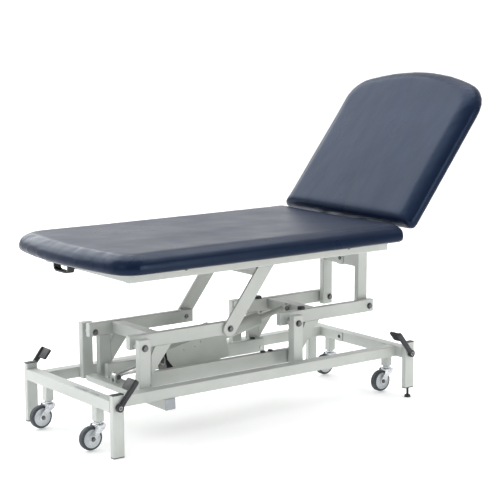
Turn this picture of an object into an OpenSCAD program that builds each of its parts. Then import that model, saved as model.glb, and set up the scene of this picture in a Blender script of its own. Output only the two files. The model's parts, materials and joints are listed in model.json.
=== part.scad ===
// Height-adjustable two-section examination couch: welded base on four retractable
// castors, two bell-crank arm pairs driven by a linear actuator, a tilting backrest
// carried by a gas spring. +X points to the head end, -Y is the near side, +Z is up.

/* [Base frame] */
// Length over the corner posts
base_l = 1230; // [1160:10:1300]
// Width over the corner posts
base_w = 552; // [540:2:600]
// Height of the top face of the base rails
rail_top = 176; // [170:1:182]
// Height of the corner posts
post_h = 195; // [190:1:220]
// Height of the pivot posts
pivot_post_h = 328; // [322:1:340]

/* [Lift] */
// Height of the two fixed pivots
pivot_z = 302; // [298:1:304]
// Distance of the foot pivot from the middle of the base
foot_pivot = -439; // [-450:1:-430]
// Distance of the head pivot from the middle of the base
head_pivot = 172; // [165:1:180]
// Reach of the arms between their pivots
arm_reach = 360; // [355:1:365]
// Rise of the arms between their pivots at rest
arm_rise = 8; // [0:1:12]

/* [Castors] */
// Diameter of the castor wheels
wheel_d = 75; // [70:1:76]
// Gap under the raised wheels at rest
wheel_gap = 3; // [2:0.5:5]
// Trail of the wheels behind the swivel axis
trail = 28; // [26:1:34]

/* [Top frame] */
// Underside of the upholstery
seat_z = 562; // [560:1:566]
// Distance of the foot end of the top rails from the middle of the base
rail_foot = -535; // [-545:1:-520]
// Distance of the head end of the top rails from the middle of the base
rail_head = 502; // [500:1:504]

/* [Upholstery] */
// Width of both cushions
pad_w = 690; // [660:5:720]
// Thickness of both cushions
pad_t = 62; // [50:1:66]
// Foot end of the seat cushion
seat_foot = -652; // [-670:1:-640]
// Head end of the seat cushion
seat_head = 511; // [505:1:512]
// Length of the back cushion
back_l = 632; // [560:2:640]

/* [Backrest] */
// Angle of the backrest above level at rest
back_angle = 52; // [45:1:60]
// Gap from the hinge to the lower end of the back cushion
back_gap = 36; // [36:1:50]

/* [Hidden] */
$fn = 48;

paint = [0.80, 0.81, 0.79];
black = [0.06, 0.06, 0.07];
zinc = [0.72, 0.73, 0.75];
rubber = [0.42, 0.43, 0.45];
vinyl = [0.05, 0.08, 0.14];
plywood = [0.72, 0.58, 0.40];
cover_grey = [0.70, 0.71, 0.71];

wall = 2;                // wall of every tube
edge_r = 3;              // outer edge radius of every tube
eps = 1;                 // overrun of a cutting tool
fit = 0.05;              // radial clearance of a running fit

// base sections
post = [40, 20];         // corner post section, x by y
rail_h = 36;             // height of all base rails
side_rail_w = 40;
side_rail_y = 205;       // middle of the side rails
end_x = base_l / 2 - post[0] / 2;    // middle of the end rails and corner posts
post_y = base_w / 2 - post[1] / 2;   // middle of the corner posts
rail_z = rail_top - rail_h / 2;
pivot_post = [40, 25];
pivot_post_y = side_rail_y - side_rail_w / 2 - pivot_post[1] / 2;
cap_t = 3;
head_post_bottom = 37;   // head posts stand on screw feet
glide_t = 3;
cross_x = -374;          // lower cross member
cross_w = 38;
castor_y = 155;
castor_xy = [[-end_x, -castor_y], [-end_x, castor_y], [end_x, -castor_y], [end_x, castor_y]];
socket_w = 28;
socket_bottom = 92;

// pedals
shaft_r = 7;
cam_throw = 9.6;         // distance of the cam nose from the shaft
cam_tip_r = 5;
cam_rest = 60;           // nose angle away from straight down at rest
stem_top = rail_z - 10.6;
pedal_gap = 0.5;
hub_r = 12;
hub_t = 14;
pedal_lean = 39;         // pedal arms lean this much from vertical towards the middle
pedal_l = 98;
pad_in = 53;             // width of the foot pad across the couch
pad_along = 38;

// castors
stem_r = 8;
wheel_z = wheel_d / 2 + wheel_gap;
fork_top = wheel_z + 43.5;
crown_t = 6;              // castor fork crown, clear of the wheel below it
axle_r = 4;

// lift linkage
pin_r = 6;
bush_r = 9.5;
arm_y = 121;             // middle of both arm planes
arm_w = 22;              // thickness of arms, levers and links across the couch
arm_h = 44;
arm_bottom = pivot_z - 13;
arm_z = arm_bottom + arm_h / 2;
arm_end_z = pivot_z + arm_rise;
lever_w = 44;
lever_x = 36;            // middle of a lever leg from its pivot
lever_bottom = 150;
link_pin = [44, -136];   // link pin from its fixed pivot
link_y = 93;
link_h = 48;
link_bottom = pivot_z + link_pin[1] - 16;
leg_y = 138;
leg_t = 8;
leg_w = 50;
leg_angle = 52.5;
strut_y = 95;
strut_w = 42;
strut_x = rail_head + strut_w / 2;
strut_bottom = 288;
torsion_x = -6;          // torsion tube from the foot pivot
torsion_h = 18;
torsion_z = 150;

// actuator, along its own axis from the rod eye
rod_eye = [8, -126];     // rod eye from the foot pivot
housing_eye = [84, 14];  // housing eye from the head pivot
rod_at = [foot_pivot + rod_eye[0], pivot_z + rod_eye[1]];
housing_at = [head_pivot + housing_eye[0], pivot_z + housing_eye[1]];
act_run = housing_at[0] - rod_at[0];
act_rise = housing_at[1] - rod_at[1];
act_l = sqrt(act_run * act_run + act_rise * act_rise);
act_angle = atan2(act_rise, act_run);
eye_r = 12;
eye_t = 16;
clevis_pin_r = 5;
rod_r = 7;
rod_l = 440;
bore_r = 22;             // room for the rod to swing inside the outer tube
outer_r = 24.5;
mouth = 525;             // open end of the outer tube from the housing eye
neck_l = 120;            // solid rear end of the housing
motor_r = 17;
motor_z = -43;           // motor axis below the rod's axis
gearbox = [34, 54, 90];
cover_l = 238;
cover_w = 104;
cover_top = 38;
cover_low = -62;

// top frame
top_rail_h = 35;
top_rail_w = 22;
top_rail_y = 244;
top_rail_z = seat_z - top_rail_h / 2;
closure_w = 18;
leg_cross_x = 50;
leg_cross_w = 40;
leg_cross_h = 56;
leg_cross_top = seat_z - top_rail_h;
strut_cross_z = 465;

// hook for the hand control
hook_y = 113;
hook_bottom = 514;
hook_l = 92;             // along Y
hook_w = 25;
hook_t = 5;
hook_bend_r = 16;

// backrest, in its own frame: x along the backrest from the hinge, z out of it
hinge = [522, 572];
pad_back = -10;          // back face of the back cushion
seat_end = [1300, 90];   // radii of the seat's rounded end: arch, shoulders
back_end = [830, 120];
corner_r = 24;           // plan corners at the square end
board_t = 12;
board_inset = 34;
board_end_inset = 54;
board_corner_r = 130;
back_tube = 25;
back_tube_y = 162.5;
gas_low = [521, 500];
gas_high = [250, -30];
lug_y = 183.2;           // inner face of the hinge lugs on the top frame
lug_t = 6;
lug_r = 10;
gas_run = hinge[0] + gas_high[0] * cos(back_angle) - gas_high[1] * sin(back_angle) - gas_low[0];
gas_rise = hinge[1] + gas_high[0] * sin(back_angle) + gas_high[1] * cos(back_angle) - gas_low[1];
gas_l = sqrt(gas_run * gas_run + gas_rise * gas_rise);
gas_angle = atan2(gas_rise, gas_run);

// rounded edge of both cushions: [inset, height] rings from the underside up
rim = [[16, 0], [6, 6], [0, 18], [0, pad_t - 22], [6, pad_t - 8], [18, pad_t]];

slice = 0.5;             // thickness of one ring

// the origin is under the middle of the couch's outer box, which runs from the tyres of
// the foot castors to the lower rim of the back cushion's arched end
back_reach = hinge[0] + (back_gap + back_l - rim[1][0]) * cos(back_angle)
    - (pad_back + rim[1][1]) * sin(back_angle);
foot_reach = -end_x - trail - wheel_d / 2;
base_x = -(foot_reach + back_reach) / 2;

module from_base() translate([base_x, 0, 0]) children();
module both_sides() {
    children();
    mirror([0, 1, 0]) children();
}
module near_side() mirror([0, 1, 0]) children();

// Rectangle a by b with round corners
module round_rect(a, b, r = edge_r) {
    square([a - 2 * r, b], center = true);
    square([a, b - 2 * r], center = true);
    for (x = [-1, 1], y = [-1, 1])
        translate([x * (a / 2 - r), y * (b / 2 - r)]) circle(r);
}

// Section of a rectangular tube
module tube_section(a, b) difference() {
    round_rect(a, b);
    round_rect(a - 2 * wall, b - 2 * wall, edge_r - wall);
}

// Tubes that start at the origin and run up, or along X; or are centred and run along Y
module tube_z(wx, wy, l) linear_extrude(l) tube_section(wx, wy);
module tube_x(l, wy, hz) rotate([90, 0, 90]) linear_extrude(l) tube_section(wy, hz);
module tube_y(wx, hz, l) rotate([90, 0, 0]) linear_extrude(l, center = true)
    tube_section(wx, hz);

// Round bar along Y from y0 to y1 at x, z
module bar_y(x, z, r, y0, y1) translate([x, y0, z]) rotate([-90, 0, 0])
    cylinder(r = r, h = y1 - y0);

// ---- base ----

module side_rail() translate([-end_x + post[0] / 2, side_rail_y, rail_z])
    tube_x(2 * end_x - post[0], side_rail_w, rail_h);

module near_side_rail() color(paint) from_base() near_side() side_rail();

module far_side_rail() color(paint) from_base() side_rail();

module end_rail(x) difference() {
    translate([x, 0, rail_z]) tube_y(post[0], rail_h, 2 * post_y - post[1]);
    for (y = [-castor_y, castor_y])
        translate([x, y, rail_z - rail_h / 2 - eps]) cylinder(r = stem_r + 1, h = wall + 2 * eps);
}

module foot_end_rail() color(paint) from_base() end_rail(-end_x);

module head_end_rail() color(paint) from_base() end_rail(end_x);

module corner_posts() color(paint) from_base() both_sides() difference() {
    union() {
        translate([-end_x, post_y, glide_t]) tube_z(post[0], post[1], post_h - glide_t);
        translate([end_x, post_y, head_post_bottom])
            tube_z(post[0], post[1], post_h - head_post_bottom);
    }
    for (x = [-end_x, end_x])
        bar_y(x, rail_z, shaft_r + fit, post_y - post[1], post_y + post[1]);
}

module pivot_posts() color(paint) from_base() both_sides() for (x = [foot_pivot, head_pivot])
    difference() {
        union() {
            translate([x, pivot_post_y, rail_z - rail_h / 2])
                tube_z(pivot_post[0], pivot_post[1], pivot_post_h - rail_z + rail_h / 2);
            translate([x, pivot_post_y, pivot_post_h - cap_t]) cap(pivot_post[0], pivot_post[1]);
            bar_y(x, pivot_z, bush_r, arm_y + arm_w / 2 + 0.3,
                pivot_post_y + pivot_post[1] / 2);
        }
        bar_y(x, pivot_z, pin_r, arm_y, pivot_post_y + pivot_post[1]);
    }

module cap(wx, wy) linear_extrude(cap_t) round_rect(wx, wy);

module post_caps() color(black) from_base() both_sides() {
    for (x = [-end_x, end_x]) translate([x, post_y, post_h]) cap(post[0], post[1]);
    translate([end_x, post_y, head_post_bottom - cap_t]) difference() {
        cap(post[0], post[1]);
        translate([0, 0, -eps]) cylinder(r = 4, h = cap_t + 2 * eps);
    }
}

module lower_cross_member() color(paint) from_base()
    translate([cross_x, 0, rail_z - rail_h]) tube_y(cross_w, rail_h, 2 * side_rail_y + side_rail_w);

module levelling_feet() color(black) from_base() both_sides() {
    translate([end_x, post_y, 0]) {
        cylinder(r1 = 11.5, r2 = 10, h = 7);
        translate([0, 0, 7]) cylinder(r1 = 10, r2 = 4, h = 4);
        cylinder(r = 4, h = 56);
    }
    translate([-end_x, post_y, 0]) linear_extrude(glide_t) round_rect(post[0], post[1]);
}

module castor_sockets() color(paint) from_base() for (p = castor_xy)
    translate([p[0], p[1], socket_bottom]) difference() {
        linear_extrude(rail_z - rail_h / 2 - socket_bottom) round_rect(socket_w, socket_w);
        translate([0, 0, -eps]) cylinder(r = stem_r + fit, h = rail_z);
    }

module pivot_bolts() color(zinc) from_base() both_sides() for (x = [foot_pivot, head_pivot])
    bar_y(x, pivot_z, pin_r, arm_y - arm_w / 2 - 3, pivot_post_y + pivot_post[1] / 2 + 5);

// ---- pedals ----

// Shaft with two cams; side is -1 at the foot end and 1 at the head end
module pedal_shaft(side) translate([side * end_x, 0, rail_z]) {
    bar_y(0, 0, shaft_r, -post_y - post[1] / 2 - hub_t, post_y + post[1] / 2 + hub_t);
    for (y = [-castor_y, castor_y]) rotate([0, 90 + side * cam_rest, 0])
        translate([0, y, 0]) {
            bar_y(0, 0, 9, -7, 7);
            bar_y(cam_throw, 0, cam_tip_r, -7, 7);
            translate([0, -7, -cam_tip_r]) cube([cam_throw, 14, 2 * cam_tip_r]);
        }
}

module foot_pedal_shaft() color(zinc) from_base() pedal_shaft(-1);

module head_pedal_shaft() color(zinc) from_base() pedal_shaft(1);

module pedal(side) {
    y0 = post_y + post[1] / 2 + pedal_gap;
    y1 = y0 + hub_t - pedal_gap;
    translate([side * end_x, 0, rail_z]) rotate([0, -side * pedal_lean, 0]) {
        difference() {
            union() {
                bar_y(0, 0, hub_r, y0, y1);
                translate([-8, y0, 0]) cube([16, y1 - y0, pedal_l - 8]);
                translate([-5, y1 - pad_in, pedal_l - pad_along])
                    cube([10, pad_in, pad_along]);
            }
            bar_y(0, 0, shaft_r, y0 - eps, y1 + eps);
        }
    }
}

module foot_pedals() color(black) from_base() both_sides() pedal(-1);

module head_pedals() color(black) from_base() both_sides() pedal(1);

// ---- castors ----

module at_castor(i) translate([castor_xy[i][0], castor_xy[i][1], 0]) children();

module castor_stem(i) color(zinc) from_base() at_castor(i) {
    translate([0, 0, fork_top + 0.3]) cylinder(r = stem_r, h = stem_top - fork_top - 0.3);
    translate([0, 0, fork_top + 0.3]) cylinder(r = 13, h = 4);
    translate([0, 0, fork_top - 11]) cylinder(r = 5, h = 14);
}

module castor_fork(i) color(zinc) from_base() at_castor(i) {
    difference() {
        union() {
            translate([0, 0, fork_top - crown_t]) cylinder(r = 17, h = crown_t);
            translate([-8, -17.5, fork_top - 5]) cube([16, 35, 5]);
        }
        translate([0, 0, fork_top - 12]) cylinder(r = 5 + fit, h = 16);
    }
    for (y = [-17.5, 15]) translate([0, y, 0]) rotate([90, 0, 0]) mirror([0, 0, 1])
        linear_extrude(2.5) {
            polygon([[-15, fork_top], [15, fork_top], [13, fork_top - 12],
                [-trail + 10, wheel_z], [-trail - 9, wheel_z]]);
            translate([-trail, wheel_z]) circle(10);
        }
    bar_y(-trail, wheel_z, axle_r, -21, 21);
}

module castor_wheel(i) color(rubber) from_base() at_castor(i)
    translate([-trail, 0, wheel_z]) rotate([90, 0, 0]) rotate_extrude()
        polygon([[axle_r + fit, -13.5], [10, -13.5], [11, -8], [25, -8], [27, -12],
            [wheel_d / 2 - 5, -12], [wheel_d / 2 - 1.2, -9], [wheel_d / 2, -5],
            [wheel_d / 2, 5], [wheel_d / 2 - 1.2, 9], [wheel_d / 2 - 5, 12], [27, 12],
            [25, 8], [11, 8], [10, 13.5], [axle_r + fit, 13.5]]);

// ---- lift cranks ----

// Tube of one arm, with a bush for each pivot in bores
module arm(x0, x1, bores) difference() {
    union() {
        translate([x0, arm_y, arm_z]) tube_x(x1 - x0, arm_w, arm_h);
        for (b = bores) bar_y(b[0], b[1], bush_r, arm_y - arm_w / 2, arm_y + arm_w / 2);
    }
    for (b = bores) bar_y(b[0], b[1], pin_r + fit, arm_y - arm_w, arm_y + arm_w);
}

module foot_arm() arm(foot_pivot - 20, foot_pivot + arm_reach + 24,
    [[foot_pivot, pivot_z], [foot_pivot + arm_reach, arm_end_z]]);

module head_arm() arm(head_pivot - 34, head_pivot + arm_reach + 16,
    [[head_pivot, pivot_z], [head_pivot + arm_reach, arm_end_z]]);

// Leg and brace that hang below one arm and carry the link pin
module lever(pivot) difference() {
    union() {
        translate([pivot + lever_x, arm_y, lever_bottom])
            tube_z(lever_w, arm_w, arm_bottom - lever_bottom);
        bar_y(pivot + link_pin[0], pivot_z + link_pin[1], bush_r,
            arm_y - arm_w / 2, arm_y + arm_w / 2);
        translate([pivot, arm_y + arm_w / 2, 0]) rotate([90, 0, 0]) linear_extrude(arm_w)
            polygon([[lever_x + lever_w / 2, 195], [133, arm_bottom], [73, arm_bottom],
                [lever_x + lever_w / 2, 262]]);
    }
    bar_y(pivot + link_pin[0], pivot_z + link_pin[1], pin_r, arm_y - arm_w, arm_y + arm_w);
}

module link_pins(pivot) bar_y(pivot + link_pin[0], pivot_z + link_pin[1], pin_r,
    link_y - arm_w / 2 - 3, arm_y + arm_w / 2 + 3);

module foot_arm_near() color(paint) from_base() near_side() foot_arm();

module foot_arm_far() color(paint) from_base() foot_arm();

module foot_arm_cross_tube() color(paint) from_base()
    translate([foot_pivot + 85, 0, 311]) tube_y(40, 38, 2 * (arm_y - arm_w / 2));

module foot_crank_levers() color(paint) from_base() both_sides() lever(foot_pivot);

// Two plates with a round end that hold an eye between them; foot is the plate's other end
module clevis(eye, foot, t) both_sides() difference() {
    union() {
        bar_y(eye[0], eye[1], eye_r, eye_t / 2 + 0.5, eye_t / 2 + 0.5 + t);
        translate([foot[0], eye_t / 2 + 0.5, foot[1]]) cube([foot[2], t, foot[3]]);
    }
    bar_y(eye[0], eye[1], clevis_pin_r + fit, 0, eye_t + t);
}

module torsion_tube() color(paint) from_base() {
    translate([foot_pivot + torsion_x, 0, torsion_z])
        tube_y(40, torsion_h, 2 * arm_y + arm_w);
    clevis(rod_at, [rod_at[0] - 12, torsion_z + torsion_h / 2 - wall, 24,
        rod_at[1] - torsion_z - torsion_h / 2 + wall], 5);
}

module foot_crank_pins() color(zinc) from_base() {
    both_sides() link_pins(foot_pivot);
    bar_y(rod_at[0], rod_at[1], clevis_pin_r, -eye_t / 2 - 8, eye_t / 2 + 8);
}

module head_arm_near() color(paint) from_base() near_side() head_arm();

module head_arm_far() color(paint) from_base() head_arm();

module head_arm_cross_tube() color(paint) from_base() {
    translate([head_pivot + 118, 0, 311]) tube_y(40, 38, 2 * (arm_y - arm_w / 2));
    clevis(housing_at, [housing_at[0], housing_at[1] - eye_r, 14 + wall, 2 * eye_r], 5);
}

module head_crank_levers() color(paint) from_base() both_sides() lever(head_pivot);

module head_crank_pins() color(zinc) from_base() {
    both_sides() link_pins(head_pivot);
    bar_y(housing_at[0], housing_at[1], clevis_pin_r, -eye_t / 2 - 8, eye_t / 2 + 8);
}

// ---- link bars ----

module link_bar() {
    x0 = foot_pivot + link_pin[0];
    x1 = head_pivot + link_pin[0];
    z = pivot_z + link_pin[1];
    difference() {
        union() {
            translate([x0 - 14, link_y, link_bottom + link_h / 2])
                tube_x(x1 - x0 + 29, arm_w, link_h);
            for (x = [x0, x1])
                bar_y(x, z, bush_r, link_y - arm_w / 2, link_y + arm_w / 2);
        }
        for (x = [x0, x1]) bar_y(x, z, pin_r + fit, link_y - arm_w, link_y + arm_w);
    }
}

module near_link_bar() color(paint) from_base() near_side() link_bar();

module far_link_bar() color(paint) from_base() link_bar();

// ---- actuator ----

module on_actuator_axis() translate([rod_at[0], 0, rod_at[1]])
    rotate([0, -act_angle, 0]) children();
module rod_x(x0, x1, r) translate([x0, 0, 0]) rotate([0, 90, 0]) cylinder(r = r, h = x1 - x0);

module actuator_rod() color(zinc) from_base() on_actuator_axis() difference() {
    union() {
        bar_y(0, 0, eye_r, -eye_t / 2, eye_t / 2);
        rod_x(0, rod_l, rod_r);
    }
    bar_y(0, 0, clevis_pin_r + fit, -eye_t, eye_t);
}

// Outer tube with a collar at its mouth and a solid neck that ends in the rear eye
module actuator_housing() color(cover_grey) from_base() on_actuator_axis() difference() {
    union() {
        rod_x(act_l - mouth, act_l - neck_l, outer_r);
        rod_x(act_l - neck_l, act_l - eye_r, 10);
        rod_x(act_l - eye_r - eps, act_l, eye_t / 2);
        bar_y(act_l, 0, eye_r, -eye_t / 2, eye_t / 2);
    }
    rod_x(act_l - mouth - eps, act_l - neck_l - 14, bore_r);
    bar_y(act_l, 0, clevis_pin_r + fit, -eye_t, eye_t);
}

// Gearbox round the tube's mouth, and the motor under the tube
module actuator_motor() color(black) from_base() on_actuator_axis() difference() {
    union() {
        translate([act_l - mouth, -gearbox[1] / 2, motor_z - motor_r - 2]) cube(gearbox);
        translate([0, 0, motor_z]) rod_x(act_l - mouth + gearbox[0] - eps,
            act_l - mouth + 200, motor_r);
    }
    rod_x(act_l - mouth - eps, act_l - mouth + gearbox[0] + eps, outer_r);
}

// Side view of the cover shell: its foot edge slopes away from the gearbox below
module cover_side(inset) {
    x0 = act_l - mouth - 6;
    polygon([[x0, cover_top - inset], [x0 + cover_l, cover_top - inset],
        [x0 + cover_l, cover_low], [x0 + 36, cover_low], [x0, 6]]);
}

// Folded sheet cover over the motor and the outer tube, open below
module actuator_cover() color(cover_grey) from_base() on_actuator_axis() difference() {
    translate([0, cover_w / 2, 0]) rotate([90, 0, 0]) linear_extrude(cover_w) cover_side(0);
    translate([0, cover_w / 2 - wall, 0]) rotate([90, 0, 0]) linear_extrude(cover_w - 2 * wall)
        for (x = [-eps, 0, eps], z = [0, -eps]) translate([x, z]) cover_side(wall);
    for (p = [[60, 18], [105, 14], [130, 22]])
        bar_y(act_l - mouth + p[0], p[1], 2.2, -60, -40);
}

// ---- top frame ----

module top_rail() translate([rail_foot, top_rail_y, top_rail_z])
    tube_x(rail_head - rail_foot, top_rail_w, top_rail_h);

module near_top_rail() color(paint) from_base() near_side() top_rail();

module far_top_rail() color(paint) from_base() top_rail();

module top_cross_members() color(paint) from_base() {
    inner_w = 2 * top_rail_y - top_rail_w;
    for (x = [rail_foot + closure_w / 2, rail_head - closure_w / 2])
        translate([x, 0, top_rail_z]) tube_y(closure_w, top_rail_h, inner_w);
    translate([leg_cross_x, 0, top_rail_z]) tube_y(leg_cross_w, top_rail_h, inner_w);
    translate([leg_cross_x, 0, leg_cross_top - leg_cross_h / 2])
        tube_y(leg_cross_w, leg_cross_h, 2 * leg_y - leg_t);
    translate([strut_x - 2, 0, strut_cross_z]) tube_y(22, 40, 2 * strut_y - arm_w);
}

// Lugs of the gas spring on the strut cross tube, and of the backrest hinge on the head tube
module top_frame_lugs() color(paint) from_base() both_sides() {
    difference() {
        union() {
            translate([gas_low[0] - 9, 6.5, strut_cross_z + 20])
                cube([18, 4, gas_low[1] - strut_cross_z - 20]);
            bar_y(gas_low[0], gas_low[1], 9, 6.5, 10.5);
        }
        bar_y(gas_low[0], gas_low[1], 4 + fit, 0, 20);
    }
    difference() {
        union() {
            translate([rail_head, lug_y, leg_cross_top + 5])
                cube([hinge[0] - rail_head + lug_r, lug_t, seat_z - leg_cross_top - 6]);
            translate([hinge[0] - lug_r, lug_y, leg_cross_top + 5])
                cube([2 * lug_r, lug_t, hinge[1] - leg_cross_top - 5]);
            bar_y(hinge[0], hinge[1], lug_r, lug_y, lug_y + lug_t);
        }
        bar_y(hinge[0], hinge[1], 4 + fit, lug_y - eps, lug_y + lug_t + eps);
    }
}

module slanted_legs() color(paint) from_base() both_sides()
    translate([foot_pivot + arm_reach, leg_y + leg_t / 2, arm_end_z]) rotate([90, 0, 0])
        linear_extrude(leg_t) difference() {
            rotate(leg_angle) {
                translate([0, -leg_w / 2]) square([330, leg_w]);
                circle(leg_w / 2);
            }
            circle(pin_r);
            translate([-100, leg_cross_top - arm_end_z]) square([600, 200]);
        }

module head_struts() color(paint) from_base() both_sides() difference() {
    union() {
        translate([strut_x, strut_y, strut_bottom])
            tube_z(strut_w, arm_w, seat_z - 6 - strut_bottom);
        bar_y(head_pivot + arm_reach, arm_end_z, bush_r,
            strut_y - arm_w / 2, strut_y + arm_w / 2);
    }
    bar_y(head_pivot + arm_reach, arm_end_z, pin_r, 0, arm_y);
}

module top_frame_bolts() color(zinc) from_base() {
    both_sides() {
        bar_y(foot_pivot + arm_reach, arm_end_z, pin_r, arm_y - arm_w / 2 - 5,
            leg_y + leg_t / 2 + 6);
        bar_y(head_pivot + arm_reach, arm_end_z, pin_r, strut_y - arm_w / 2 - 4,
            arm_y + arm_w / 2 + 6);
        bar_y(hinge[0], hinge[1], 4, 172, lug_y + lug_t + 5);
    }
    bar_y(gas_low[0], gas_low[1], 4, -14, 14);
}

// Cushion outline along X: nearly square at x1, and at x0 a shallow arch with round
// shoulders, whose radii are in end
module pad_outline(x0, x1, end, inset) {
    shoulder_y = pad_w / 2 - end[1];
    shoulder_x = x0 + end[0] - sqrt((end[0] - end[1]) ^ 2 - shoulder_y ^ 2);
    hull() {
        intersection() {
            translate([x0 + end[0], 0]) circle(end[0] - inset, $fn = 180);
            translate([x0, -shoulder_y]) square([end[1], 2 * shoulder_y]);
        }
        for (y = [-1, 1]) {
            translate([shoulder_x, y * shoulder_y]) circle(end[1] - inset);
            translate([x1 - corner_r, y * (pad_w / 2 - corner_r)])
                circle(corner_r - inset, $fn = 24);
        }
    }
}

// One cushion with rounded edges and a pocket for its board, lying on z = 0
module cushion(x0, x1, end) difference() {
    hull() for (ring = rim)
        translate([0, 0, min(ring[1], pad_t - slice)]) linear_extrude(slice)
            pad_outline(x0, x1, end, ring[0]);
    translate([0, 0, -eps]) linear_extrude(board_t + eps) board_outline(x0, x1, 0.3);
}

module board_outline(x0, x1, grow) {
    half_w = pad_w / 2 - board_inset + grow;
    foot = x0 + board_end_inset - grow;
    r = board_corner_r;
    translate([foot + r, -half_w]) square([x1 - board_inset + grow - foot - r, 2 * half_w]);
    translate([foot, r - half_w]) square([r + 1, 2 * (half_w - r)]);
    for (y = [-1, 1]) translate([foot + r, y * (half_w - r)]) circle(r);
}

module seat_board() color(plywood) from_base() translate([0, 0, seat_z])
    linear_extrude(board_t) board_outline(seat_foot, seat_head, 0);

module seat_cushion() color(vinyl) from_base() translate([0, 0, seat_z])
    cushion(seat_foot, seat_head, seat_end);

// Outside of the hook's strap, or its inside with inset > 0: round below, square above
module strap_outline(inset) {
    top = seat_z - hook_bottom + (inset > 0 ? eps : 0);
    translate([inset - hook_l / 2, hook_bend_r]) square([hook_l - 2 * inset, top - hook_bend_r]);
    translate([hook_bend_r - hook_l / 2, inset])
        square([hook_l - 2 * hook_bend_r, hook_bend_r]);
    for (x = [-1, 1]) translate([x * (hook_l / 2 - hook_bend_r), hook_bend_r])
        circle(hook_bend_r - inset);
}

// Flat strap bent to a U under the seat board, in front of the foot closure tube
module handset_hook() color(black) from_base()
    translate([rail_foot - 2 - hook_w, hook_y, hook_bottom]) rotate([90, 0, 90])
        linear_extrude(hook_w) difference() {
            strap_outline(0);
            strap_outline(hook_t);
        }

// ---- backrest ----

module on_back() translate([hinge[0], 0, hinge[1]]) rotate([0, -back_angle, 0]) children();

module back_side_tubes() color(paint) from_base() on_back() both_sides() {
    translate([15, back_tube_y, pad_back - back_tube / 2])
        tube_x(545, back_tube, back_tube);
    difference() {
        union() {
            bar_y(0, 0, 11, back_tube_y + back_tube / 2, back_tube_y + back_tube / 2 + 6);
            translate([0, back_tube_y + back_tube / 2, pad_back - back_tube + 3])
                cube([70, 6, back_tube - 6]);
            translate([-11, back_tube_y + back_tube / 2, pad_back - 12]) cube([22, 6, 22]);
        }
        bar_y(0, 0, 4 + fit, back_tube_y, lug_y + 2);
    }
}

module back_cross_tubes() color(paint) from_base() on_back() {
    z = pad_back - back_tube / 2;
    for (x = [276, 535])
        translate([x, 0, z]) tube_y(back_tube, back_tube, 2 * back_tube_y - back_tube);
    both_sides() difference() {
        union() {
            bar_y(gas_high[0], gas_high[1], 9, 6.5, 10.5);
            translate([gas_high[0], 6.5, gas_high[1] - 4]) cube([15, 4, 13]);
        }
        bar_y(gas_high[0], gas_high[1], 4 + fit, 0, 20);
    }
}

// Back pieces are drawn like the seat's, with the arched end away from the hinge
module back_turned() on_back() translate([0, 0, pad_back]) rotate(180) children();

module back_board() color(plywood) from_base() back_turned() linear_extrude(board_t)
    board_outline(-back_gap - back_l, -back_gap, 0);

module back_cushion() color(vinyl) from_base() back_turned()
    cushion(-back_gap - back_l, -back_gap, back_end);

// ---- gas spring ----

module on_gas_axis() translate([gas_low[0], 0, gas_low[1]])
    rotate([0, -gas_angle, 0]) children();

module gas_cylinder() color(black) from_base() on_gas_axis() difference() {
    union() {
        bar_y(0, 0, 8, -5, 5);
        rod_x(0, 22, 5);
        rod_x(16, 172, 12.5);
    }
    rod_x(24, 180, 9.3);
    bar_y(0, 0, 4 + fit, -10, 10);
}

// Rod with its eye, and the pin through the eye
module gas_rod() color(zinc) from_base() on_gas_axis() {
    difference() {
        union() {
            bar_y(gas_l, 0, 8, -5, 5);
            rod_x(gas_l - 172, gas_l, 4);
            rod_x(gas_l - 28, gas_l, 6);
        }
        bar_y(gas_l, 0, 4, -10, 10);
    }
    bar_y(gas_l, 0, 4, -14, 14);
}

near_side_rail();
far_side_rail();
foot_end_rail();
head_end_rail();
corner_posts();
pivot_posts();
post_caps();
lower_cross_member();
levelling_feet();
castor_sockets();
pivot_bolts();
foot_pedal_shaft();
foot_pedals();
head_pedal_shaft();
head_pedals();
castor_stem(0);  // foot_near_castor_stem
castor_fork(0);  // foot_near_castor_fork
castor_wheel(0);  // foot_near_castor_wheel
castor_stem(1);  // foot_far_castor_stem
castor_fork(1);  // foot_far_castor_fork
castor_wheel(1);  // foot_far_castor_wheel
castor_stem(2);  // head_near_castor_stem
castor_fork(2);  // head_near_castor_fork
castor_wheel(2);  // head_near_castor_wheel
castor_stem(3);  // head_far_castor_stem
castor_fork(3);  // head_far_castor_fork
castor_wheel(3);  // head_far_castor_wheel
foot_arm_near();
foot_arm_far();
foot_arm_cross_tube();
foot_crank_levers();
torsion_tube();
foot_crank_pins();
head_arm_near();
head_arm_far();
head_arm_cross_tube();
head_crank_levers();
head_crank_pins();
near_link_bar();
far_link_bar();
actuator_rod();
actuator_housing();
actuator_motor();
actuator_cover();
near_top_rail();
far_top_rail();
top_cross_members();
top_frame_lugs();
slanted_legs();
head_struts();
top_frame_bolts();
seat_board();
seat_cushion();
handset_hook();
back_side_tubes();
back_cross_tubes();
back_board();
back_cushion();
gas_cylinder();
gas_rod();
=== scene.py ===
"""Looks of the examination couch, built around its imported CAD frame.

Lengths in the helper calls are millimetres from the middle of the base frame, on the
floor; mm() turns them into the frame's metres.
"""
import json
import math

import bmesh
import bpy
import numpy as np
from mathutils import Matrix, Vector, noise


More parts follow.
